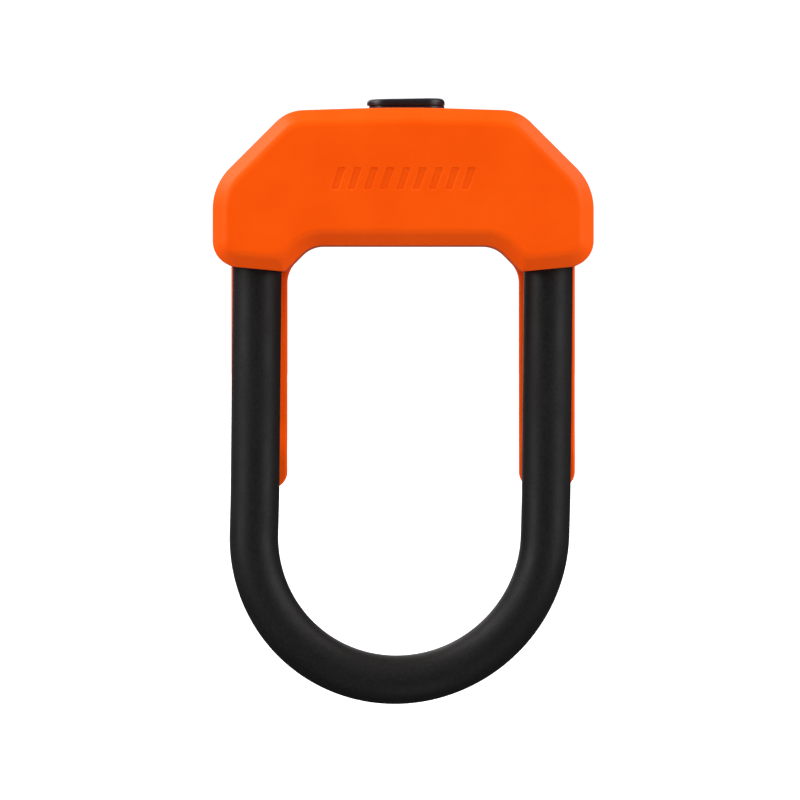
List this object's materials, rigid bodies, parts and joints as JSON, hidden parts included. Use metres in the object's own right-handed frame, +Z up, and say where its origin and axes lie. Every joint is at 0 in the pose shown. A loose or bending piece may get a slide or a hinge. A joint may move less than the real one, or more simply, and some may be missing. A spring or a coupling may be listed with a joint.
{
  "type": "u lock",
  "caption": "Compact clip-on bicycle U lock: coated steel shackle, moulded crossbar case with a key lock inside, swivelling dust cover and belt clips behind the legs.",
  "frame": {"origin": "middle of the crossbar's underside, in the plane of the shackle legs, where a tube or hook that passes through the locking bay carries the lock", "axes": "+Z up along the shackle legs towards the keyhole, +X to the right along the crossbar, -Y towards the front face, +Y towards the belt clips"},
  "size_m": [0.1314, 0.0385, 0.2103],
  "materials": {
    "case": "soft satin moulded orange nylon",
    "clip": "matt moulded orange nylon, a little deeper than the case",
    "sleeve": "matt black soft coat with a fine grain",
    "black_plastic": "semi-matt black nylon",
    "hardened_steel": "dark hardened steel, ground",
    "bright_steel": "bright zinc plated steel",
    "brass": "machined brass",
    "seal_rubber": "matt black elastomer"
  },
  "bodies": {
    "crossbar": {"front_cover": "case", "back_cover": "case", "crossbar_body": "hardened_steel", "left_end_plug": "bright_steel", "right_end_plug": "bright_steel", "cylinder_housing": "brass", "housing_pin": "bright_steel", "guard_plate": "hardened_steel", "guard_screws": "bright_steel", "cover_screws": "bright_steel", "left_leg_seal": "seal_rubber", "right_leg_seal": "seal_rubber", "rattle_pad": "seal_rubber", "cam_washer": "brass", "keyhole_bezel": "black_plastic", "dust_cover_rivet": "bright_steel", "wave_washer": "bright_steel"},
    "shackle": {"shackle_core": "hardened_steel", "shackle_sleeve": "sleeve"},
    "rotor": {"lock_rotor": "brass", "keyway_face": "hardened_steel", "lock_discs": "brass", "disc_spacers": "bright_steel", "sidebar": "bright_steel", "drive_cam": "brass"},
    "left_bolt": {"left_bolt": "bright_steel", "left_bolt_pin": "hardened_steel"},
    "right_bolt": {"right_bolt": "bright_steel", "right_bolt_pin": "hardened_steel"},
    "dust_cover": {"dust_cover": "black_plastic"},
    "left_clip": {"left_clip": "clip"},
    "right_clip": {"right_clip": "clip"}
  },
  "joints": [
    {"name": "shackle_slide", "type": "slide", "parent": "crossbar", "child": "shackle", "axis": [0, 0, -1], "range_m": [0, 0.045]},
    {"name": "key_turn", "type": "hinge", "parent": "crossbar", "child": "rotor", "pos_m": [0, 0, 0.03], "axis": [0, 0, 1], "range_deg": [0, 90]},
    {"name": "left_bolt_slide", "type": "slide", "parent": "crossbar", "child": "left_bolt", "axis": [-1, 0, 0], "range_m": [0, 0.0045]},
    {"name": "right_bolt_slide", "type": "slide", "parent": "crossbar", "child": "right_bolt", "axis": [1, 0, 0], "range_m": [0, 0.0045]},
    {"name": "dust_cover_swivel", "type": "hinge", "parent": "crossbar", "child": "dust_cover", "pos_m": [0.0099, 0, 0.05], "axis": [0, 0, 1], "range_deg": [0, 150]},
    {"name": "left_clip_flex", "type": "hinge", "parent": "crossbar", "child": "left_clip", "pos_m": [-0.0502, 0.0153, -0.0012], "axis": [1, 0, 0], "range_deg": [0, 8], "stiffness_Nm_per_rad": 1.5},
    {"name": "right_clip_flex", "type": "hinge", "parent": "crossbar", "child": "right_clip", "pos_m": [0.0502, 0.0153, -0.0012], "axis": [1, 0, 0], "range_deg": [0, 8], "stiffness_Nm_per_rad": 1.5}
  ],
  "couplings": [
    {"joint": "left_bolt_slide", "follows": "key_turn", "m_per_rad": 0.0028647},
    {"joint": "right_bolt_slide", "follows": "key_turn", "m_per_rad": 0.0028647}
  ]
}
